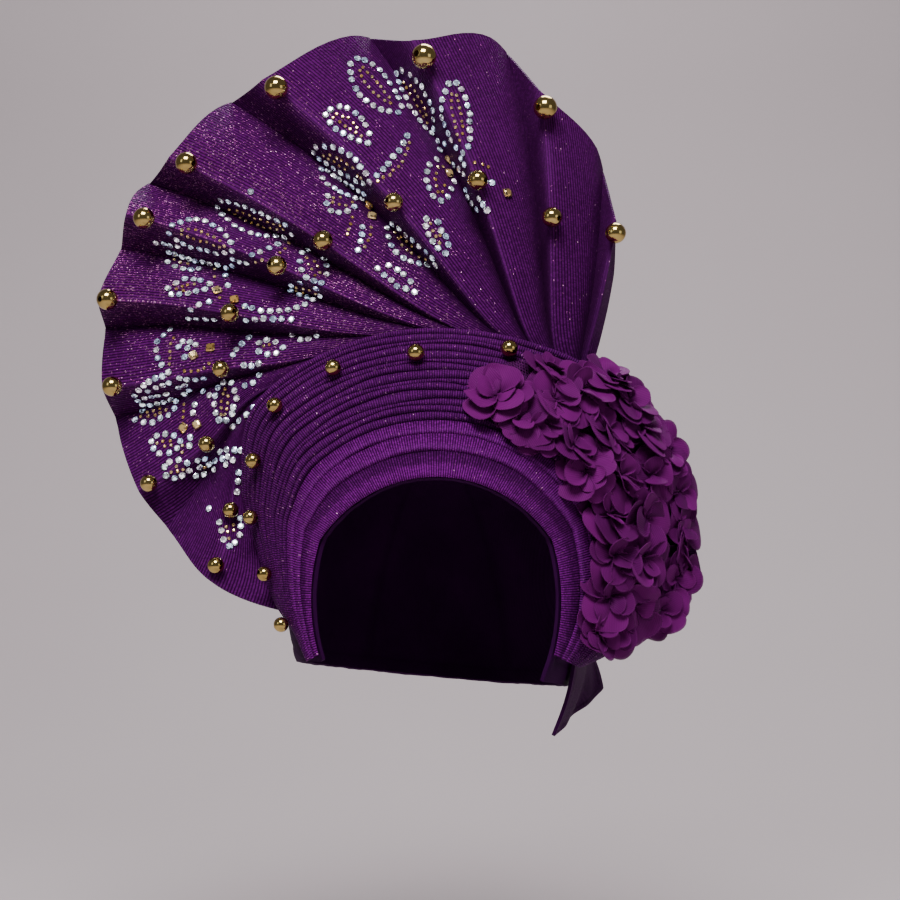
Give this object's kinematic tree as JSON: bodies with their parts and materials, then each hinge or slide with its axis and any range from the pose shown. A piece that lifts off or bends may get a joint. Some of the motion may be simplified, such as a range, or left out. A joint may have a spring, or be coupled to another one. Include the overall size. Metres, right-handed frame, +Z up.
{
  "type": "tied gele head tie",
  "caption": "Stiff woven head tie folded into a tall pleated fan behind a wrap of fine folds, with a forehead band, gilt beads, set stones and a side spray of cloth flowers.",
  "frame": {"origin": "the middle of the wearer's head at the top of the ears, inside the cap", "axes": "+Z up the wearer's head, -Y out of the face opening, +X to the side that carries the flowers"},
  "size_m": [0.2903, 0.1825, 0.3348],
  "materials": {
    "cloth": "ribbed weave, deep purple with metallic thread",
    "cap_cloth": "plain lining cloth",
    "petal": "sheer chiffon on net",
    "gilt": "polished gilt",
    "amber": "foil-backed, cut",
    "crystal": "foil-backed, cut"
  },
  "bodies": {
    "root": {"border_bead_1": "gilt", "border_bead_2": "gilt", "border_bead_3": "gilt", "border_bead_4": "gilt", "border_bead_5": "gilt", "border_bead_6": "gilt", "border_bead_7": "gilt", "border_bead_8": "gilt", "cap": "cap_cloth", "fan": "cloth", "flower_spray": "petal", "forehead_band": "cloth", "lower_tail": "cloth", "mid_bead_b": "gilt", "mid_bead_c": "gilt", "mid_bead_d": "gilt", "mid_bead_e": "gilt", "mid_bead_f": "gilt", "mid_bead_g": "gilt", "mid_bead_h": "gilt", "mid_bead_i": "gilt", "mid_bead_j": "gilt", "pleated_wrap": "cloth", "rim_bead_a": "gilt", "rim_bead_b": "gilt", "rim_bead_c": "gilt", "rim_bead_d": "gilt", "rim_bead_e": "gilt", "rim_bead_f": "gilt", "rim_bead_g": "gilt", "rim_bead_h": "gilt", "rim_bead_i": "gilt", "rim_bead_j": "gilt", "square_stone_1": "amber", "square_stone_10": "amber", "square_stone_11": "amber", "square_stone_2": "amber", "square_stone_3": "amber", "square_stone_4": "amber", "square_stone_5": "amber", "square_stone_6": "amber", "square_stone_7": "amber", "square_stone_8": "amber", "square_stone_9": "amber", "upper_tail": "cloth"}
  },
  "joints": []
}
